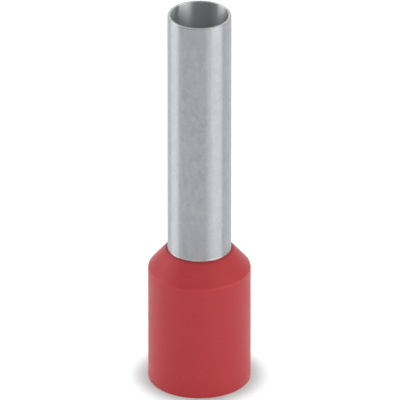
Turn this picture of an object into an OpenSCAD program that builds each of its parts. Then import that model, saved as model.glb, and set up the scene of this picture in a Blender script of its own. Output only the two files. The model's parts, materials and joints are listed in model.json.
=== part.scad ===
// Insulated wire ferrule: a thin drawn sleeve of tinned copper whose belled end
// is seated flush in the funnel of a moulded collar.
// Millimetres, +Z along the sleeve, origin at the centre of the collar's mouth,
// which is the flat end that the ferrule stands on.

/* [Sleeve] */
// Free length of the sleeve beyond the collar, the part that is crimped
pin_length = 18; // [8:0.5:32]
// Inner diameter of the sleeve, which takes the bare strands
sleeve_bore = 4; // [3:0.1:5]
// Wall of the drawn tube
sleeve_wall = 0.2; // [0.15:0.01:0.3]
// Radius that tumbling leaves on the outer edge of the tip
tip_round = 0.06; // [0.03:0.01:0.08]
// Radius that tumbling leaves on the inner edge of the tip
tip_inner_round = 0.04; // [0.02:0.01:0.06]

/* [Bell] */
// Angle between the bell and the sleeve's axis
bell_angle = 40; // [30:1:50]
// Share of the step between sleeve and collar bore that the bell stands out
bell_share = 0.62; // [0.4:0.02:0.85]
// Radius of the bend from tube to bell, on its outer face
bell_bend = 0.5; // [0.3:0.05:0.7]
// Radius on the inner edge of the bell's lip
lip_round = 0.06; // [0.02:0.01:0.08]

/* [Collar] */
// Length of the collar, from its mouth to the end of its neck
collar_length = 10; // [6:0.5:16]
// Inner diameter of the collar, which takes the wire's insulation
collar_bore = 6.3; // [5.4:0.1:8]
// Wall of the collar round the insulation
collar_wall = 0.4; // [0.3:0.05:0.8]
// Angle between the outer cone and the axis
cone_angle = 40; // [30:1:55]
// Thickness of the neck where it ends against the sleeve
neck_wall = 0.1; // [0.08:0.01:0.25]
// Straight length of the neck that grips the sleeve, above the bell's bend
neck_grip = 0.7; // [0.5:0.05:1.2]
// Clearance between the collar and the sleeve; the collar is moulded tight
grip_gap = 0; // [0:0.005:0.03]

/* [Edges] */
// Radius where the outer cone meets the barrel
shoulder_round = 0.25; // [0.1:0.05:0.5]
// Radius where the funnel meets the collar's bore
funnel_round = 0.3; // [0.1:0.05:0.5]
// Radius on the outer edge of the mouth
mouth_outer_round = 0.06; // [0.05:0.01:0.15]
// Radius on the inner edge of the mouth, which leads the insulation in
mouth_inner_round = 0.14; // [0.08:0.01:0.2]
// Radius on the edge of the neck
neck_round = 0.04; // [0.02:0.01:0.06]

/* [Hidden] */
$fn = 96;

over = 1; // how far a cut runs past the face that it opens

bore_r = sleeve_bore / 2;
tube_r = bore_r + sleeve_wall;
socket_r = collar_bore / 2;
barrel_r = socket_r + collar_wall;
neck_r = tube_r + neck_wall;

tip_z = collar_length + pin_length;
bend_z = collar_length - neck_grip;
shoulder_z = collar_length - (barrel_r - neck_r) / tan(cone_angle);

// Both faces of the bell turn about one centre, outside the tube.
bend_centre = [tube_r + bell_bend, bend_z];
// Along the bell, from the tube towards its lip, and square to it, outwards.
bell_run = [sin(bell_angle), -cos(bell_angle)];
bell_out = [cos(bell_angle), sin(bell_angle)];

// Where the bend ends on the face that lies depth in from the bell's outside.
function bend_end(depth) = bend_centre - bell_out * (bell_bend + depth);
// The point at radius r on the straight stretch of that face.
function bell_at(depth, r) =
    bend_end(depth) + bell_run * ((r - bend_end(depth)[0]) / bell_run[0]);

lip_outer = bell_at(0, tube_r + (socket_r - tube_r) * bell_share);
lip_inner = lip_outer - bell_out * sleeve_wall;
// The funnel carries the bell's inner face on, out to the collar's bore.
funnel_end = bell_at(sleeve_wall, socket_r);

function unit(v) = v / norm(v);

// What rounding a corner takes off, between its sides that run to a and to b. The
// wedge cuts square across both sides, where the round begins and ends.
module corner_waste(corner, a, b, radius) {
    to_a = unit(a - corner);
    to_b = unit(b - corner);
    inwards = unit(to_a + to_b);
    half = acos(to_a * inwards);
    centre = corner + inwards * (radius / sin(half));
    run = radius / tan(half);
    square_a = unit(corner + to_a * run - centre);
    square_b = unit(corner + to_b * run - centre);
    difference() {
        polygon([
            centre,
            centre + square_a * (radius + over),
            centre + square_b * (radius + over),
        ]);
        translate(centre) circle(radius);
    }
}

// Half section of the space that the strands and the insulation slide through.
module passage() {
    difference() {
        polygon([
            [0, tip_z + over],
            [bore_r, tip_z + over],
            [bore_r, bend_z],
            bend_end(sleeve_wall),
            funnel_end,
            [socket_r, -over],
            [0, -over],
        ]);
        translate(bend_centre) circle(bell_bend + sleeve_wall);
        corner_waste(funnel_end, lip_inner, [socket_r, 0], funnel_round);
    }
}

// Half section of the belled tube as if it were solid, grown by gap. The face of
// the lip carries on to the axis.
module tube_envelope(gap = 0) {
    lip = lip_outer + (bell_out + bell_run) * gap;
    difference() {
        polygon([
            [0, tip_z],
            [tube_r + gap, tip_z],
            [tube_r + gap, bend_z],
            bend_end(0) + bell_out * gap,
            lip,
            [0, lip[1] - lip[0] * tan(bell_angle)],
        ]);
        translate(bend_centre) circle(bell_bend - gap);
    }
}

// Half section of the collar before the passage and the seat are taken out.
module collar_blank() {
    mouth_edge = [barrel_r, 0];
    shoulder_edge = [barrel_r, shoulder_z];
    neck_edge = [neck_r, collar_length];
    difference() {
        polygon([[0, 0], mouth_edge, shoulder_edge, neck_edge, [0, collar_length]]);
        corner_waste(mouth_edge, [0, 0], shoulder_edge, mouth_outer_round);
        corner_waste(shoulder_edge, mouth_edge, neck_edge, shoulder_round);
        corner_waste(neck_edge, shoulder_edge, [0, collar_length], neck_round);
    }
}

// The moulded collar: barrel, cone, gripping neck and the seat for the bell.
module collar() {
    color("firebrick")
        rotate_extrude()
            difference() {
                collar_blank();
                passage();
                tube_envelope(grip_gap);
                corner_waste([socket_r, 0], funnel_end, [barrel_r, 0], mouth_inner_round);
            }
}

// The drawn sleeve: straight tube, bend and bell, with tumbled edges.
module sleeve() {
    tip_outer = [tube_r, tip_z];
    tip_inner = [bore_r, tip_z];
    color("silver")
        rotate_extrude()
            difference() {
                tube_envelope();
                passage();
                corner_waste(tip_outer, tip_inner, [tube_r, bend_z], tip_round);
                corner_waste(tip_inner, tip_outer, [bore_r, bend_z], tip_inner_round);
                corner_waste(lip_inner, lip_outer, bend_end(sleeve_wall), lip_round);
            }
}

collar();
sleeve();
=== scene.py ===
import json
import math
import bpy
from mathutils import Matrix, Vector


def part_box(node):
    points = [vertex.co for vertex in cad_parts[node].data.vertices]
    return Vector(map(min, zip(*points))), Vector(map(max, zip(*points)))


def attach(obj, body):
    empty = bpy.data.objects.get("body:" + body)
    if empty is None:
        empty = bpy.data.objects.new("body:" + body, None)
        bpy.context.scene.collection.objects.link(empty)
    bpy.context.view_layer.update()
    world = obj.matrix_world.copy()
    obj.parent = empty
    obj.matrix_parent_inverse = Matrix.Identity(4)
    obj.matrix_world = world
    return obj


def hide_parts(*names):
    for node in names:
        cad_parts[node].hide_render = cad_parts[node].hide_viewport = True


bl_info = {
    "name": "Insulated Wire Ferrule",
    "version": (1, 0, 0),
    "blender": (4, 5, 0),
    "location": "3D View > Sidebar > Ferrule",
    "description": "Models a belled tinned sleeve in its moulded collar, and the studio round them",
    "category": "Object",
}

from typing import NamedTuple

import bmesh
import bpy
from bpy.props import FloatProperty
from bpy.props import FloatVectorProperty
from bpy.props import IntProperty
from bpy.props import PointerProperty

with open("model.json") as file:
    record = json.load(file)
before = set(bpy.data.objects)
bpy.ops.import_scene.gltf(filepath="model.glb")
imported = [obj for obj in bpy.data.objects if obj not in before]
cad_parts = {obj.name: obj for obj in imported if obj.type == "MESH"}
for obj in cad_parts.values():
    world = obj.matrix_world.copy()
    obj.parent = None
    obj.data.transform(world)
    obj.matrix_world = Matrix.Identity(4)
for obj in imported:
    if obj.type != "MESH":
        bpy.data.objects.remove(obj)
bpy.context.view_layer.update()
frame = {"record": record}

MM = 0.001
MICRON = 0.000001

# Two points this close together count as one place when edges are picked.
PICK_REACH = 0.002 * MM
# Faces that turn by less than this are shaded as one smooth surface.
SMOOTH_BELOW = math.radians(35)
SQUARE = math.radians(90)

SLEEVE_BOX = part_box("sleeve")
COLLAR_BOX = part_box("collar")
MOUNTS = {mount["name"]: mount for mount in frame["record"]["mounts"]}


def mount_radius(name):
    """The radius of one of the record's mounts, in metres."""
    return MOUNTS[name]["dims"]["r_mm"] * MM


# ---------------------------------------------------------------- settings


class SleeveSizes(bpy.types.PropertyGroup):
    """Sizes of the drawn sleeve"""

    bore_radius: FloatProperty(
        name="Bore Radius",
        description="Inner radius of the drawn tube, which takes the bare strands",
        default=mount_radius("conductor_bore"),
        unit="LENGTH",
    )
    outer_radius: FloatProperty(
        name="Outer Radius",
        description="Outer radius of the drawn tube",
        default=mount_radius("crimp_barrel"),
        unit="LENGTH",
    )
    tip_height: FloatProperty(
        name="Tip Height",
        description="Height of the cut end above the collar's mouth",
        default=SLEEVE_BOX[1][2],
        unit="LENGTH",
    )
    lip_radius: FloatProperty(
        name="Lip Radius",
        description="Outer radius of the bell at its lip",
        default=SLEEVE_BOX[1][0],
        unit="LENGTH",
    )
    lip_height: FloatProperty(
        name="Lip Height",
        description="Height of the lowest point of the bell",
        default=SLEEVE_BOX[0][2],
        unit="LENGTH",
    )
    bell_angle: FloatProperty(
        name="Bell Angle",
        description="Angle between the bell and the axis",
        default=math.radians(40),
        subtype="ANGLE",
    )
    bend_radius: FloatProperty(
        name="Bend Radius",
        description="Radius of the bend from tube to bell, on its outer face",
        default=0.5 * MM,
        unit="LENGTH",
    )
    tip_outer_round: FloatProperty(
        name="Tip Outer Round",
        description="Radius on the outer edge of the cut end",
        default=0.06 * MM,
        unit="LENGTH",
    )
    tip_inner_round: FloatProperty(
        name="Tip Inner Round",
        description="Radius on the inner edge of the cut end",
        default=0.04 * MM,
        unit="LENGTH",
    )
    lip_round: FloatProperty(
        name="Lip Round",
        description="Radius on the inner edge of the bell's lip",
        default=0.06 * MM,
        unit="LENGTH",
    )


class CollarSizes(bpy.types.PropertyGroup):
    """Sizes of the moulded collar"""

    socket_radius: FloatProperty(
        name="Socket Radius",
        description="Inner radius of the barrel, which takes the insulation",
        default=mount_radius("insulation_socket"),
        unit="LENGTH",
    )
    barrel_radius: FloatProperty(
        name="Barrel Radius",
        description="Outer radius of the barrel",
        default=COLLAR_BOX[1][0],
        unit="LENGTH",
    )
    length: FloatProperty(
        name="Length",
        description="Height of the neck's end above the mouth",
        default=COLLAR_BOX[1][2],
        unit="LENGTH",
    )
    cone_angle: FloatProperty(
        name="Cone Angle",
        description="Angle between the outer cone and the axis",
        default=math.radians(40),
        subtype="ANGLE",
    )
    neck_wall: FloatProperty(
        name="Neck Wall",
        description="Thickness of the neck where it ends against the sleeve",
        default=0.1 * MM,
        unit="LENGTH",
    )
    shoulder_round: FloatProperty(
        name="Shoulder Round",
        description="Radius where the cone meets the barrel",
        default=0.25 * MM,
        unit="LENGTH",
    )
    funnel_round: FloatProperty(
        name="Funnel Round",
        description="Radius where the inner funnel meets the socket",
        default=0.3 * MM,
        unit="LENGTH",
    )
    mouth_outer_round: FloatProperty(
        name="Mouth Outer Round",
        description="Radius on the outer edge of the mouth",
        default=0.06 * MM,
        unit="LENGTH",
    )
    mouth_inner_round: FloatProperty(
        name="Mouth Inner Round",
        description="Radius on the inner edge of the mouth",
        default=0.14 * MM,
        unit="LENGTH",
    )
    neck_round: FloatProperty(
        name="Neck Round",
        description="Radius on the edge of the neck",
        default=0.04 * MM,
        unit="LENGTH",
    )


class MeshFineness(bpy.types.PropertyGroup):
    """How finely both pieces are modelled"""

    ring_steps: IntProperty(
        name="Ring Steps",
        description="Points round each ring of both pieces",
        default=192,
        min=48,
    )
    round_steps: IntProperty(
        name="Round Steps",
        description="Faces across each rounded edge",
        default=5,
        min=2,
    )
    bend_steps: IntProperty(
        name="Bend Steps",
        description="Faces across the bend of the bell",
        default=10,
        min=3,
    )
    wall_steps: IntProperty(
        name="Wall Steps",
        description="Faces along each long wall",
        default=12,
        min=1,
    )
    cone_steps: IntProperty(
        name="Cone Steps",
        description="Faces along the collar's outer cone",
        default=3,
        min=1,
    )


class Finishes(bpy.types.PropertyGroup):
    """Colours of the tin and the plastic, among them painted light, painted highlights and painted
    shade
    """

    tin_cool: FloatVectorProperty(
        name="Cool Tin",
        description="Colour of the tinned sleeve where it is bluest",
        default=(0.413, 0.438, 0.473),
        subtype="COLOR",
    )
    tin_warm: FloatVectorProperty(
        name="Warm Tin",
        description="Colour of the tinned sleeve where it is warmest",
        default=(0.450, 0.464, 0.484),
        subtype="COLOR",
    )
    tin_pit: FloatVectorProperty(
        name="Pitted Tin",
        description="Colour of the small pits in the tin",
        default=(0.33, 0.35, 0.38),
        subtype="COLOR",
    )
    tin_bright: FloatVectorProperty(
        name="Bright Tin",
        description="Colour of the bright grains in the tin",
        default=(0.62, 0.65, 0.68),
        subtype="COLOR",
    )
    # Painted light: the bore is given a paler metal than the outside, which brightens its shaded
    # hollow.
    tin_bore_painted_light: FloatVectorProperty(
        name="Bore Painted Light",
        description="Colour of the bore, a little brighter than the outside",
        default=(0.75, 0.77, 0.79),
        subtype="COLOR",
    )
    # Painted highlight: the cut face at the tip is given a pale metal, so that the rim shows as a
    # bright ring.
    tin_cut_painted_highlight: FloatVectorProperty(
        name="Painted Cut Highlight",
        description="Colour of the cut face at the tip",
        default=(0.74, 0.75, 0.76),
        subtype="COLOR",
    )
    # Painted highlight: a pale pink line on the metal just above the collar's neck, for the light
    # and the red reflection off the neck's edge.
    tin_seam_painted_highlight: FloatVectorProperty(
        name="Painted Seam Highlight",
        description="Colour of the pale line where the collar's neck ends",
        default=(0.95, 0.84, 0.78),
        subtype="COLOR",
    )
    plastic: FloatVectorProperty(
        name="Collar Plastic",
        description="Colour of the moulded collar",
        default=(0.525, 0.040, 0.047),
        subtype="COLOR",
    )
    plastic_deep: FloatVectorProperty(
        name="Deep Collar Plastic",
        description="Colour of the moulded collar where it is darkest",
        default=(0.495, 0.036, 0.043),
        subtype="COLOR",
    )
    plastic_dust: FloatVectorProperty(
        name="Dusty Plastic",
        description="Colour of the faint dust on the collar",
        default=(0.8, 0.5, 0.5),
        subtype="COLOR",
    )
    # Painted highlight: a paler line along the shoulder's rounded edge, where light catches it.
    plastic_shoulder_painted_highlight: FloatVectorProperty(
        name="Painted Shoulder Highlight",
        description="Colour of the paler line along the shoulder",
        default=(0.66, 0.045, 0.055),
        subtype="COLOR",
    )
    # Painted shade: a darker line round the neck's end, where the collar meets the sleeve and shade
    # falls.
    plastic_neck_painted_shade: FloatVectorProperty(
        name="Painted Neck Shade",
        description="Colour of the darker line round the neck's end",
        default=(0.26, 0.02, 0.026),
        subtype="COLOR",
    )


class StudioSetup(bpy.types.PropertyGroup):
    """The view, the floor and the sky"""

    view_rise: FloatProperty(
        name="View Rise",
        description="Angle of the camera above the horizon",
        default=math.radians(28),
        subtype="ANGLE",
    )
    view_width: FloatProperty(
        name="View Width",
        description="Width that the camera sees at the ferrule",
        default=27.55 * MM,
        unit="LENGTH",
    )
    view_spread: FloatProperty(
        name="View Spread",
        description="Angle between the camera's sides; small, for a long lens",
        default=math.radians(1.5),
        subtype="ANGLE",
    )
    aim_height: FloatProperty(
        name="Aim Height",
        description="Height of the point on the axis that the camera looks at",
        default=13.65 * MM,
        unit="LENGTH",
    )
    aim_side: FloatProperty(
        name="Aim Side",
        description="How far the camera looks to the right of the axis",
        default=0.04 * MM,
        unit="LENGTH",
    )
    floor_radius: FloatProperty(
        name="Floor Radius",
        description="Radius of the round floor",
        default=2.0,
        unit="LENGTH",
    )
    floor_white: FloatProperty(
        name="Floor White",
        description="How pale the floor is",
        default=0.93,
        subtype="FACTOR",
    )
    floor_lift: FloatProperty(
        name="Floor Lift",
        description="Light that the floor adds where the camera or a mirror sees it",
        default=0.40,
    )
    floor_cool: FloatProperty(
        name="Floor Cool",
        description="Share of red that the camera sees in the floor's colour",
        default=0.87,
        subtype="FACTOR",
    )
    # Painted shade: over this reach the floor's lift fades out towards the base, a darker ring
    # round it over its real shadow.
    painted_shadow_reach: FloatProperty(
        name="Painted Shadow Reach",
        description="How far from the base the floor's lift is whole",
        default=1.6 * MM,
        unit="LENGTH",
    )
    sky_light: FloatProperty(
        name="Sky Light",
        description="Strength of the sky in front and overhead",
        default=0.30,
    )
    side_light: FloatProperty(
        name="Side Light",
        description="Strength of the sky at the sides, behind the lamps",
        default=0.9,
    )
    backdrop_light: FloatProperty(
        name="Backdrop Light",
        description="Strength of the sky behind the ferrule, low down",
        default=1.0,
    )


# ---------------------------------------------------------------- modelling


def start_ring(name, radius, height, steps):
    """Add a circle round the axis and open it for editing, with its edge picked."""
    bpy.ops.object.select_all(action="DESELECT")
    bpy.ops.mesh.primitive_circle_add(vertices=steps, radius=radius, location=(0, 0, height))
    piece = bpy.context.active_object
    piece.name = name
    piece.data.name = name
    bpy.ops.object.transform_apply(location=True, rotation=True, scale=True)
    bpy.ops.object.mode_set(mode="EDIT")
    bpy.ops.mesh.select_mode(type="EDGE")
    bpy.ops.mesh.select_all(action="SELECT")
    return piece


def pull_wall(start, end, steps=1):
    """Extrude the picked ring in steps from one radius and height to another."""
    for step in range(steps):
        here = mix_places(start, end, step / steps)
        there = mix_places(start, end, (step + 1) / steps)
        rise = there[1] - here[1]
        grow = there[0] / here[0]
        bpy.ops.mesh.extrude_edges_move(TRANSFORM_OT_translate={"value": (0, 0, rise)})
        bpy.ops.transform.resize(value=(grow, grow, 1), center_override=(0, 0, there[1]))


def mix_places(start, end, share):
    """The place that lies a share of the way from one place to another."""
    return tuple(a + (b - a) * share for a, b in zip(start, end))


def close_wall(piece, steps):
    """Bridge the first ring and the last, which closes the section."""
    mesh = bmesh.from_edit_mesh(piece.data)
    for edge in mesh.edges:
        edge.select_set(len(edge.link_faces) == 1)
    mesh.select_flush_mode()
    bmesh.update_edit_mesh(piece.data)
    bpy.ops.mesh.bridge_edge_loops(number_cuts=steps - 1)


def pick_ring(piece, place):
    """Pick the ring of edges at one radius and height."""
    radius, height = place
    bpy.ops.mesh.select_all(action="DESELECT")
    mesh = bmesh.from_edit_mesh(piece.data)
    found = 0
    for edge in mesh.edges:
        on_ring = all(
            abs(math.hypot(point.co.x, point.co.y) - radius) < PICK_REACH
            and abs(point.co.z - height) < PICK_REACH
            for point in edge.verts
        )
        edge.select_set(on_ring)
        found += on_ring
    mesh.select_flush_mode()
    bmesh.update_edit_mesh(piece.data)
    if not found:
        raise RuntimeError(f"{piece.name} has no ring at {place}")


def round_ring(piece, place, radius, turn, steps):
    """Round a ring's corner, at which the section turns by an angle."""
    pick_ring(piece, place)
    bpy.ops.mesh.bevel(
        offset=radius * math.tan(turn / 2),
        segments=steps,
        affect="EDGES",
        profile=0.5,
    )


def finish_ring_piece(piece):
    """Turn the faces outwards, leave edit mode and smooth the shading."""
    bpy.ops.mesh.select_all(action="SELECT")
    bpy.ops.mesh.normals_make_consistent(inside=False)
    bpy.ops.mesh.select_all(action="DESELECT")
    bpy.ops.object.mode_set(mode="OBJECT")
    bpy.ops.object.shade_smooth_by_angle(angle=SMOOTH_BELOW)
    bpy.ops.object.modifier_add(type="WEIGHTED_NORMAL")
    bpy.ops.object.modifier_apply(modifier=piece.modifiers[-1].name)
    piece.select_set(False)


def bell_places(sizes):
    """The corners of the bell's section, from the tube to the lip and back."""
    wall = sizes.outer_radius - sizes.bore_radius
    run = math.tan(sizes.bell_angle)
    across = math.cos(sizes.bell_angle)
    along = math.sin(sizes.bell_angle)
    # The lip's rounded edge ends this much higher than its corner would.
    round_rise = sizes.lip_round * (across + along - 1)
    corner_height = sizes.lip_height - round_rise
    lip_inner = (sizes.lip_radius - wall * across, corner_height)
    lip_outer = (sizes.lip_radius, corner_height + wall * along)
    bend_outer = (
        sizes.outer_radius,
        lip_outer[1] + (lip_outer[0] - sizes.outer_radius) / run,
    )
    bend_inner = (
        sizes.bore_radius,
        lip_inner[1] + (lip_inner[0] - sizes.bore_radius) / run,
    )
    return bend_outer, lip_outer, lip_inner, bend_inner


def model_sleeve(sizes, fineness):
    """Draw the tube's section ring by ring: tip, outside, bell, then the bore."""
    wall = sizes.outer_radius - sizes.bore_radius
    tip_inner = (sizes.bore_radius, sizes.tip_height)
    tip_outer = (sizes.outer_radius, sizes.tip_height)
    bend_outer, lip_outer, lip_inner, bend_inner = bell_places(sizes)

    piece = start_ring("sleeve_tube", *tip_inner, fineness.ring_steps)
    pull_wall(tip_inner, tip_outer)
    pull_wall(tip_outer, bend_outer, fineness.wall_steps)
    pull_wall(bend_outer, lip_outer)
    pull_wall(lip_outer, lip_inner)
    pull_wall(lip_inner, bend_inner)
    close_wall(piece, fineness.wall_steps)

    for place, radius in (
        (tip_inner, sizes.tip_inner_round),
        (tip_outer, sizes.tip_outer_round),
        (lip_inner, sizes.lip_round),
    ):
        round_ring(piece, place, radius, SQUARE, fineness.round_steps)
    for place, radius in (
        (bend_outer, sizes.bend_radius),
        (bend_inner, sizes.bend_radius + wall),
    ):
        round_ring(piece, place, radius, sizes.bell_angle, fineness.bend_steps)
    finish_ring_piece(piece)
    return piece


def collar_shoulder(sizes, sleeve):
    """The corner where the cone meets the barrel."""
    neck_radius = sleeve.outer_radius + sizes.neck_wall
    cone_rise = (sizes.barrel_radius - neck_radius) / math.tan(sizes.cone_angle)
    return sizes.barrel_radius, sizes.length - cone_rise


def model_collar(sizes, sleeve, fineness):
    """Draw the collar's section ring by ring: mouth, barrel, cone, neck, seat, funnel."""
    neck_radius = sleeve.outer_radius + sizes.neck_wall
    mouth_inner = (sizes.socket_radius, 0)
    mouth_outer = (sizes.barrel_radius, 0)
    shoulder = collar_shoulder(sizes, sleeve)
    neck_outer = (neck_radius, sizes.length)
    neck_inner = (sleeve.outer_radius, sizes.length)
    bend, lip_outer, lip_inner, _ = bell_places(sleeve)
    funnel_drop = (sizes.socket_radius - lip_inner[0]) / math.tan(sleeve.bell_angle)
    funnel_end = (sizes.socket_radius, lip_inner[1] - funnel_drop)

    piece = start_ring("collar_moulding", *mouth_inner, fineness.ring_steps)
    pull_wall(mouth_inner, mouth_outer)
    pull_wall(mouth_outer, shoulder, fineness.wall_steps)
    pull_wall(shoulder, neck_outer, fineness.cone_steps)
    pull_wall(neck_outer, neck_inner)
    pull_wall(neck_inner, bend)
    pull_wall(bend, lip_outer)
    pull_wall(lip_outer, lip_inner)
    pull_wall(lip_inner, funnel_end)
    close_wall(piece, fineness.wall_steps)

    for place, radius, turn in (
        (mouth_inner, sizes.mouth_inner_round, SQUARE),
        (mouth_outer, sizes.mouth_outer_round, SQUARE),
        (shoulder, sizes.shoulder_round, sizes.cone_angle),
        (neck_outer, sizes.neck_round, SQUARE - sizes.cone_angle),
        (funnel_end, sizes.funnel_round, sleeve.bell_angle),
    ):
        round_ring(piece, place, radius, turn, fineness.round_steps)
    round_ring(piece, bend, sleeve.bend_radius, sleeve.bell_angle, fineness.bend_steps)
    finish_ring_piece(piece)
    return piece


# ---------------------------------------------------------------- node helpers


def add_node(tree, kind, values=(), **settings):
    """Add a node, with its settings and the values of its inputs by name."""
    node = tree.nodes.new(kind)
    for name, value in settings.items():
        setattr(node, name, value)
    for name, value in dict(values).items():
        node.inputs[name].default_value = value
    return node


def calculate(tree, operation, first, second=0.0):
    """Add a Math node and hand back its output."""
    node = add_node(tree, "ShaderNodeMath", operation=operation)
    for socket, value in zip(node.inputs, (first, second)):
        feed(tree, value, socket)
    return node.outputs["Value"]


def feed(tree, value, socket):
    """Link an output to a socket, or set the socket to a plain value."""
    if isinstance(value, bpy.types.NodeSocket):
        tree.links.new(value, socket)
    else:
        socket.default_value = value


def remap(tree, value, from_low, from_high, to_low=0.0, to_high=1.0):
    """Carry a value from one range to another, clamped and smooth."""
    node = add_node(tree, "ShaderNodeMapRange", interpolation_type="SMOOTHSTEP")
    for name, amount in (
        ("Value", value),
        ("From Min", from_low),
        ("From Max", from_high),
        ("To Min", to_low),
        ("To Max", to_high),
    ):
        feed(tree, amount, node.inputs[name])
    return node.outputs["Result"]


def mix_colours(tree, share, first, second):
    """Mix two colours by a share and hand back the output."""
    node = add_node(tree, "ShaderNodeMix", data_type="RGBA")
    feed(tree, share, node.inputs["Factor"])
    for name, colour in (("A", first), ("B", second)):
        if not isinstance(colour, bpy.types.NodeSocket):
            colour = (*colour, 1.0)
        socket = next(s for s in node.inputs if s.name == name and s.type == "RGBA")
        feed(tree, colour, socket)
    return next(s for s in node.outputs if s.type == "RGBA")


def new_group(name, inputs, outputs):
    """Start a shader node group with named inputs and outputs."""
    tree = bpy.data.node_groups.new(name, "ShaderNodeTree")
    for label, kind, default in inputs:
        socket = tree.interface.new_socket(label, in_out="INPUT", socket_type=kind)
        if default is not None:
            socket.default_value = default
    for label, kind in outputs:
        tree.interface.new_socket(label, in_out="OUTPUT", socket_type=kind)
    start = tree.nodes.new("NodeGroupInput")
    end = tree.nodes.new("NodeGroupOutput")
    return tree, start.outputs, end.inputs


def place_group(tree, group, **values):
    """Place a group in a material; underscores in a value's name stand for spaces."""
    node = add_node(tree, "ShaderNodeGroup", node_tree=group)
    for name, value in values.items():
        feed(tree, value, node.inputs[name.replace("_", " ").title()])
    return node.outputs


def mottle_group():
    """Soft irregular patches of one size, finer ones laid over them."""
    name = "Mottle"
    if name in bpy.data.node_groups:
        return bpy.data.node_groups[name]
    tree, given, result = new_group(
        name,
        (
            ("Position", "NodeSocketVector", None),
            ("Patch Size", "NodeSocketFloat", 0.5 * MM),
            ("Contrast", "NodeSocketFloat", 1.0),
        ),
        (("Mask", "NodeSocketFloat"),),
    )
    noise = add_node(tree, "ShaderNodeTexNoise", {"Detail": 3.0, "Roughness": 0.6})
    feed(tree, given["Position"], noise.inputs["Vector"])
    feed(tree, calculate(tree, "DIVIDE", 1.0, given["Patch Size"]), noise.inputs["Scale"])
    centred = calculate(tree, "SUBTRACT", noise.outputs["Fac"], 0.5)
    spread = calculate(tree, "MULTIPLY", centred, given["Contrast"])
    mask = calculate(tree, "ADD", spread, 0.5)
    tree.links.new(mask, result["Mask"])
    return tree


def speckle_group():
    """Separate small spots, as of pits, dust or bright grains."""
    name = "Speckle"
    if name in bpy.data.node_groups:
        return bpy.data.node_groups[name]
    tree, given, result = new_group(
        name,
        (
            ("Position", "NodeSocketVector", None),
            ("Spot Size", "NodeSocketFloat", 0.2 * MM),
            ("Coverage", "NodeSocketFloat", 0.3),
        ),
        (("Mask", "NodeSocketFloat"),),
    )
    noise = add_node(tree, "ShaderNodeTexNoise", {"Detail": 1.0, "Roughness": 0.5})
    feed(tree, given["Position"], noise.inputs["Vector"])
    feed(tree, calculate(tree, "DIVIDE", 1.0, given["Spot Size"]), noise.inputs["Scale"])
    bare_level = 0.75  # the noise seldom rises this far, so few spots start here
    full_drop = 0.5  # how far full coverage lowers the level at which spots start
    spot_edge = 0.12  # how far the noise rises from a spot's edge to its middle
    drop = calculate(tree, "MULTIPLY", given["Coverage"], full_drop)
    start = calculate(tree, "SUBTRACT", bare_level, drop)
    middle = calculate(tree, "ADD", start, spot_edge)
    mask = remap(tree, noise.outputs["Fac"], start, middle)
    tree.links.new(mask, result["Mask"])
    return tree


def ring_band_group():
    """A soft band round the axis at one height, as along an edge."""
    name = "Ring Band"
    if name in bpy.data.node_groups:
        return bpy.data.node_groups[name]
    tree, given, result = new_group(
        name,
        (
            ("Position", "NodeSocketVector", None),
            ("Height", "NodeSocketFloat", 10 * MM),
            ("Reach", "NodeSocketFloat", 0.1 * MM),
        ),
        (("Mask", "NodeSocketFloat"),),
    )
    split = add_node(tree, "ShaderNodeSeparateXYZ")
    feed(tree, given["Position"], split.inputs["Vector"])
    away = calculate(tree, "SUBTRACT", split.outputs["Z"], given["Height"])
    away = calculate(tree, "ABSOLUTE", away)
    share = calculate(tree, "DIVIDE", away, given["Reach"])
    tree.links.new(remap(tree, share, 1.0, 0.0), result["Mask"])
    return tree


def mottle(tree, place, patch_size, contrast):
    """Place the soft patches and hand back their mask."""
    group = mottle_group()
    outputs = place_group(tree, group, position=place, patch_size=patch_size, contrast=contrast)
    return outputs["Mask"]


def speckle(tree, place, spot_size, coverage):
    """Place the small spots and hand back their mask."""
    group = speckle_group()
    outputs = place_group(tree, group, position=place, spot_size=spot_size, coverage=coverage)
    return outputs["Mask"]


def ring_band(tree, place, height, reach):
    """Place a band round the axis and hand back its mask."""
    outputs = place_group(tree, ring_band_group(), position=place, height=height, reach=reach)
    return outputs["Mask"]


# ---------------------------------------------------------------- materials


def new_material(name):
    """Start a material and hand back its tree, shader and Object coordinates."""
    material = bpy.data.materials.new(name)
    material.use_nodes = True
    tree = material.node_tree
    shader = tree.nodes["Principled BSDF"]
    place = add_node(tree, "ShaderNodeTexCoord").outputs["Object"]
    return material, tree, shader, place


def stretch(tree, place, scale):
    """Scale coordinates along each axis."""
    node = add_node(tree, "ShaderNodeMapping", {"Scale": scale})
    tree.links.new(place, node.inputs["Vector"])
    return node.outputs["Vector"]


def set_bump(tree, shader, height, depth):
    """Feed a height into the shader's normal, at a depth in metres."""
    bump = add_node(tree, "ShaderNodeBump", {"Strength": 1.0, "Distance": depth})
    tree.links.new(height, bump.inputs["Height"])
    tree.links.new(bump.outputs["Normal"], shader.inputs["Normal"])


def lay_tint(tree, base, tint, mask, share=1.0):
    """Lay a tint over a base colour where a mask is, by a share of its strength."""
    return mix_colours(tree, calculate(tree, "MULTIPLY", mask, share), base, tint)


def weigh(tree, parts):
    """Add up masks, each at its own weight."""
    total = 0.0
    for mask, weight in parts:
        total = calculate(tree, "ADD", calculate(tree, "MULTIPLY", mask, weight), total)
    return total


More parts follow.
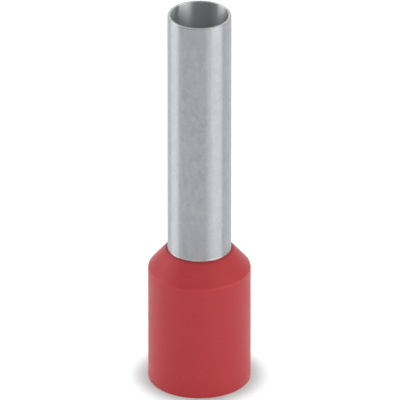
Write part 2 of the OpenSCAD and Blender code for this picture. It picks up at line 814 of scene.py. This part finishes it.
def tube_masks(tree, place, sizes):
    """The masks of the bore, and of the cut face inside its outer round."""
    # The bore's tint is painted light, which brightens the hollow inside the tube.
    bore_share = 0.4  # how far into the wall's thickness the bore's tint reaches
    # The cut's tint is a painted highlight round the rim.
    cut_depth = 0.055 * MM  # how far down from the tip the cut's tint reaches
    cut_inset = 0.02 * MM  # how far it stays inside the tube's outer face
    wall = sizes.outer_radius - sizes.bore_radius
    bore_edge = sizes.bore_radius + wall * bore_share
    cut_bottom = sizes.tip_height - cut_depth
    cut_edge = sizes.outer_radius - cut_inset

    split = add_node(tree, "ShaderNodeSeparateXYZ")
    tree.links.new(place, split.inputs["Vector"])
    reach = add_node(tree, "ShaderNodeVectorMath", operation="LENGTH")
    tree.links.new(stretch(tree, place, (1.0, 1.0, 0.0)), reach.inputs[0])

    bore = calculate(tree, "LESS_THAN", reach.outputs["Value"], bore_edge)
    high = calculate(tree, "GREATER_THAN", split.outputs["Z"], cut_bottom)
    inside = calculate(tree, "LESS_THAN", reach.outputs["Value"], cut_edge)
    return bore, calculate(tree, "MULTIPLY", high, inside)


def tinned_copper(finishes, sizes, neck_height):
    """Drawn copper with a thin tin coat: tumbled, faintly pitted and streaked, with painted light
    in the bore, a painted highlight round the cut and a painted pale line above the neck.
    """
    material, tree, shader, place = new_material("tinned_copper")
    along_tube = stretch(tree, place, (1.0, 1.0, 0.06))
    # Mirrored, so that the bright grains don't lie where the pits do.
    mirrored = stretch(tree, place, (-1.0, 1.0, 0.8))
    blush = mottle(tree, place, patch_size=0.9 * MM, contrast=2.3)
    grain = mottle(tree, place, patch_size=0.3 * MM, contrast=2.0)
    streaks = mottle(tree, along_tube, patch_size=0.16 * MM, contrast=1.5)
    pits = speckle(tree, place, spot_size=0.3 * MM, coverage=0.3)
    bright = speckle(tree, mirrored, spot_size=0.28 * MM, coverage=0.35)
    # Painted highlight: a pale pink line just above the neck, for the light and red reflection off
    # the neck's edge.
    seam_highlight_rise = 0.04 * MM  # the pale line's middle lies this far above the neck
    seam_highlight = ring_band(tree, place, height=neck_height + seam_highlight_rise, reach=0.13 * MM)
    bore, cut = tube_masks(tree, place, sizes)

    tin = mix_colours(tree, blush, finishes.tin_cool, finishes.tin_warm)
    tin = lay_tint(tree, tin, finishes.tin_pit, pits, share=0.18)
    tin = lay_tint(tree, tin, finishes.tin_bright, bright, share=0.13)
    # Painted light: the bore's paler metal brightens its shaded hollow.
    tin = lay_tint(tree, tin, finishes.tin_bore_painted_light, bore)
    # Painted highlight: the cut face's pale metal makes the rim a bright ring.
    tin = lay_tint(tree, tin, finishes.tin_cut_painted_highlight, cut)
    # Painted highlight and reflection: the pale pink line above the neck.
    tin = lay_tint(tree, tin, finishes.tin_seam_painted_highlight, seam_highlight, share=0.75)
    tree.links.new(tin, shader.inputs["Base Color"])

    rough = remap(tree, grain, from_low=0.2, from_high=0.8, to_low=0.33, to_high=0.38)
    rough = calculate(tree, "ADD", rough, weigh(tree, ((bore, 0.02), (cut, -0.07))))
    tree.links.new(rough, shader.inputs["Roughness"])
    relief = weigh(tree, ((grain, 0.8), (streaks, 0.25), (pits, -0.8), (bright, 0.8)))
    set_bump(tree, shader, relief, depth=1.7 * MICRON)

    # Drawing leaves the metal so that its highlights run along the tube.
    shader.inputs["Metallic"].default_value = 1.0
    shader.inputs["Anisotropic"].default_value = 1.0
    shader.inputs["Anisotropic Rotation"].default_value = 0.25
    turned = add_node(tree, "ShaderNodeTangent", direction_type="RADIAL", axis="Z")
    tree.links.new(turned.outputs["Tangent"], shader.inputs["Tangent"])
    return material


def moulded_plastic(finishes, sizes, sleeve):
    """Red polypropylene with the faint cloud and fine grain of a moulding, a painted highlight
    along the shoulder and painted shade round the neck's end.
    """
    material, tree, shader, place = new_material("moulded_plastic")
    _, shoulder_height = collar_shoulder(sizes, sleeve)
    # The paler line along the shoulder is a painted highlight.
    shoulder_highlight_drop = 0.08 * MM  # the paler line's middle lies this far below the corner
    # The darker line round the neck's end is painted shade.
    neck_shade_drop = 0.03 * MM  # the darker line's middle lies this far below the neck's end
    cloud = mottle(tree, place, patch_size=1.6 * MM, contrast=1.6)
    grain = mottle(tree, place, patch_size=0.12 * MM, contrast=1.6)
    dust = speckle(tree, place, spot_size=0.35 * MM, coverage=0.15)
    shoulder = ring_band(tree, place, height=shoulder_height - shoulder_highlight_drop, reach=0.16 * MM)
    # Painted shade: a darker line round the neck's end, where it meets the sleeve.
    neck = ring_band(tree, place, height=sizes.length - neck_shade_drop, reach=0.12 * MM)

    body = mix_colours(tree, cloud, finishes.plastic_deep, finishes.plastic)
    body = lay_tint(tree, body, finishes.plastic_dust, dust, share=0.03)
    # Painted highlight along the shoulder.
    body = lay_tint(tree, body, finishes.plastic_shoulder_painted_highlight, shoulder, share=0.4)
    # Painted shade round the neck's end.
    body = lay_tint(tree, body, finishes.plastic_neck_painted_shade, neck, share=0.6)
    tree.links.new(body, shader.inputs["Base Color"])

    rough = remap(tree, cloud, from_low=0.2, from_high=0.8, to_low=0.42, to_high=0.50)
    tree.links.new(rough, shader.inputs["Roughness"])
    set_bump(tree, shader, grain, depth=0.6 * MICRON)
    shader.inputs["IOR"].default_value = 1.40
    return material


def dress(piece, material, node):
    """Give a piece its material and its body, and hide the node it stands for."""
    piece.data.materials.clear()
    piece.data.materials.append(material)
    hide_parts(node)
    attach(piece, "root")


# ---------------------------------------------------------------- studio


def new_stage_tree(block):
    """Empty the node tree of a material or a world and hand it back."""
    block.use_nodes = True
    block.node_tree.nodes.clear()
    return block.node_tree


def floor_material(setup, base_radius):
    """Matt white, lifted for the camera and for mirrors; for the camera the lift fades out towards
    the base, which paints a darker ring round it over its real shadow.
    """
    material = bpy.data.materials.new("studio_floor")
    tree = new_stage_tree(material)
    rays = add_node(tree, "ShaderNodeLightPath").outputs

    # What the camera sees is a little cool, against the red light off the collar.
    matt = add_node(tree, "ShaderNodeBsdfDiffuse")
    plain = (setup.floor_white,) * 3
    cool = (setup.floor_white * setup.floor_cool, setup.floor_white, setup.floor_white)
    tree.links.new(mix_colours(tree, rays["Is Camera Ray"], plain, cool), matt.inputs["Color"])

    reach = add_node(tree, "ShaderNodeVectorMath", operation="LENGTH")
    tree.links.new(add_node(tree, "ShaderNodeTexCoord").outputs["Object"], reach.inputs[0])
    # Painted shade: the camera's lift fades out by distance towards the base, darkening a ring
    # round it beyond its real shadow.
    away = remap(tree, reach.outputs["Value"], base_radius, base_radius + setup.painted_shadow_reach)
    seen = calculate(tree, "MULTIPLY", rays["Is Camera Ray"], away)
    seen = calculate(tree, "MAXIMUM", seen, rays["Is Glossy Ray"])
    seen = calculate(tree, "MAXIMUM", seen, rays["Is Transmission Ray"])
    lift = add_node(tree, "ShaderNodeEmission")
    tree.links.new(calculate(tree, "MULTIPLY", seen, setup.floor_lift), lift.inputs["Strength"])

    both = add_node(tree, "ShaderNodeAddShader")
    tree.links.new(matt.outputs["BSDF"], both.inputs[0])
    tree.links.new(lift.outputs["Emission"], both.inputs[1])
    end = add_node(tree, "ShaderNodeOutputMaterial")
    tree.links.new(both.outputs["Shader"], end.inputs["Surface"])
    return material


def white_floor(setup, base_radius):
    """A pale round floor, on which the ferrule stands."""
    bpy.ops.object.select_all(action="DESELECT")
    bpy.ops.mesh.primitive_circle_add(
        vertices=96,
        radius=setup.floor_radius,
        fill_type="NGON",
    )
    floor = bpy.context.active_object
    floor.name = "floor"
    floor.data.materials.append(floor_material(setup, base_radius))
    floor.select_set(False)


def soft_sky(setup):
    """A sky that is dim in front, brighter at the sides and white behind and low down."""
    world = bpy.data.worlds.new("soft_sky")
    bpy.context.scene.world = world
    tree = new_stage_tree(world)
    split = add_node(tree, "ShaderNodeSeparateXYZ")
    view = add_node(tree, "ShaderNodeTexCoord").outputs["Generated"]
    tree.links.new(view, split.inputs["Vector"])

    # Towards the sky, Y runs from -1 in front to 1 behind, and Z from 0 level to 1 overhead.
    back = split.outputs["Y"]
    rise = split.outputs["Z"]
    sides = remap(tree, back, -0.1, 0.5, setup.sky_light, setup.side_light)
    backdrop = remap(tree, back, 0.6, 0.95, 0.0, setup.backdrop_light)
    horizon = remap(tree, rise, 0.12, 0.04, 0.0, setup.backdrop_light)
    light = calculate(tree, "MAXIMUM", sides, backdrop)
    light = calculate(tree, "MAXIMUM", light, horizon)

    sky = add_node(tree, "ShaderNodeBackground")
    tree.links.new(light, sky.inputs["Strength"])
    end = add_node(tree, "ShaderNodeOutputWorld")
    tree.links.new(sky.outputs["Background"], end.inputs["Surface"])


class Lamp(NamedTuple):
    """A flat soft lamp that looks at the ferrule: its place, its size and its light."""

    name: str
    turn: float  # degrees from the camera's side, anticlockwise from above
    rise: float  # degrees above the horizon
    distance: float  # metres, as are the width and the height
    width: float
    height: float
    strength: float  # brightness of its face, where 1 is white
    colour: tuple = (1.0, 1.0, 1.0)
    lights: bool = True  # whether it lights matt surfaces
    mirrors: bool = True  # whether shiny surfaces mirror it


# The side lamps stand low, and make the two bright bands on the tube. The cards above
# them show only in reflections, inside the bore.
LEFT_WARM = (1.0, 0.975, 0.935)
RIGHT_WARM = (1.0, 0.985, 0.96)
LAMPS = (
    Lamp("left_lamp", -95.5, 11.5, 0.5, 0.325, 0.2, 2.6, LEFT_WARM),
    Lamp("left_card", -95.5, 32, 0.5, 0.325, 0.155, 1.5, LEFT_WARM, lights=False),
    Lamp("right_lamp", 62, 11.5, 0.5, 0.39, 0.2, 2.6, RIGHT_WARM),
    Lamp("right_card", 62, 32, 0.5, 0.39, 0.155, 1.6, RIGHT_WARM, lights=False),
    Lamp("fill_card", 32, 15, 0.5, 0.12, 0.26, 1.1, lights=False),
    Lamp("front_lamp", -5, 30, 0.6, 0.3, 0.3, 1.7, mirrors=False),
    Lamp("top_lamp", 0, 90, 0.6, 0.4, 0.4, 2.5, mirrors=False),
    Lamp("top_card", 0, 90, 0.6, 0.4, 0.4, 2.4, lights=False),
)


def soft_lamp(plan):
    """Add one of the lamps, turned to look at the ferrule."""
    turn = math.radians(plan.turn)
    rise = math.radians(plan.rise)
    place = (
        math.sin(turn) * math.cos(rise) * plan.distance,
        -math.cos(turn) * math.cos(rise) * plan.distance,
        math.sin(rise) * plan.distance,
    )
    bpy.ops.object.select_all(action="DESELECT")
    bpy.ops.object.light_add(
        type="AREA",
        location=place,
        rotation=(math.pi / 2 - rise, 0, turn),
    )
    lamp = bpy.context.active_object
    lamp.name = plan.name
    lamp.data.shape = "RECTANGLE"
    lamp.data.size = plan.width
    lamp.data.size_y = plan.height
    lamp.data.energy = plan.strength * math.pi * plan.width * plan.height
    lamp.data.color = plan.colour
    lamp.visible_diffuse = plan.lights
    lamp.visible_glossy = plan.mirrors
    lamp.select_set(False)


# The camera sees nothing nearer or farther than these shares of its distance.
NEAR_LIMIT = 0.01
FAR_LIMIT = 10.0


def long_camera(setup):
    """A camera with a long lens, at the setup's rise above the horizon."""
    distance = setup.view_width / 2 / math.tan(setup.view_spread / 2)
    place = (
        setup.aim_side,
        -math.cos(setup.view_rise) * distance,
        setup.aim_height + math.sin(setup.view_rise) * distance,
    )
    bpy.ops.object.select_all(action="DESELECT")
    bpy.ops.object.camera_add(
        location=place,
        rotation=(math.pi / 2 - setup.view_rise, 0, 0),
    )
    camera = bpy.context.active_object
    camera.name = "camera"
    camera.data.lens_unit = "FOV"
    camera.data.angle = setup.view_spread
    camera.data.clip_start = distance * NEAR_LIMIT
    camera.data.clip_end = distance * FAR_LIMIT
    camera.select_set(False)
    bpy.context.scene.camera = camera


# ---------------------------------------------------------------- operators


class FERRULE_OT_sleeve(bpy.types.Operator):
    """Model the drawn sleeve with its bell"""

    bl_idname = "ferrule.sleeve"
    bl_label = "Sleeve"

    def execute(self, context):
        scene = context.scene
        sizes = scene.ferrule_sleeve
        piece = model_sleeve(sizes, scene.ferrule_fineness)
        neck_height = scene.ferrule_collar.length
        material = tinned_copper(scene.ferrule_finishes, sizes, neck_height)
        dress(piece, material, "sleeve")
        return {"FINISHED"}


class FERRULE_OT_collar(bpy.types.Operator):
    """Model the moulded collar round the sleeve"""

    bl_idname = "ferrule.collar"
    bl_label = "Collar"

    def execute(self, context):
        scene = context.scene
        sizes = scene.ferrule_collar
        sleeve = scene.ferrule_sleeve
        piece = model_collar(sizes, sleeve, scene.ferrule_fineness)
        material = moulded_plastic(scene.ferrule_finishes, sizes, sleeve)
        dress(piece, material, "collar")
        return {"FINISHED"}


class FERRULE_OT_studio(bpy.types.Operator):
    """Set the floor, the sky, the lamps and the camera"""

    bl_idname = "ferrule.studio"
    bl_label = "Studio"

    def execute(self, context):
        setup = context.scene.ferrule_studio
        white_floor(setup, context.scene.ferrule_collar.barrel_radius)
        soft_sky(setup)
        for plan in LAMPS:
            soft_lamp(plan)
        long_camera(setup)
        context.scene.view_settings.view_transform = "Standard"
        return {"FINISHED"}


class FERRULE_PT_tools(bpy.types.Panel):
    """Lists the steps that build the ferrule"""

    bl_label = "Ferrule"
    bl_idname = "FERRULE_PT_tools"
    bl_space_type = "VIEW_3D"
    bl_region_type = "UI"
    bl_category = "Ferrule"

    def draw(self, context):
        for operator in OPERATORS:
            self.layout.operator(operator.bl_idname)


OPERATORS = (FERRULE_OT_sleeve, FERRULE_OT_collar, FERRULE_OT_studio)
GROUPS = {
    "ferrule_sleeve": SleeveSizes,
    "ferrule_collar": CollarSizes,
    "ferrule_fineness": MeshFineness,
    "ferrule_finishes": Finishes,
    "ferrule_studio": StudioSetup,
}


def register():
    for name, group in GROUPS.items():
        bpy.utils.register_class(group)
        setattr(bpy.types.Scene, name, PointerProperty(type=group))
    for operator in OPERATORS:
        bpy.utils.register_class(operator)
    bpy.utils.register_class(FERRULE_PT_tools)


def unregister():
    bpy.utils.unregister_class(FERRULE_PT_tools)
    for operator in reversed(OPERATORS):
        bpy.utils.unregister_class(operator)
    for name, group in reversed(GROUPS.items()):
        delattr(bpy.types.Scene, name)
        bpy.utils.unregister_class(group)


def main():
    register()
    bpy.ops.ferrule.studio()
    bpy.ops.ferrule.sleeve()
    bpy.ops.ferrule.collar()


if __name__ == "__main__":
    main()
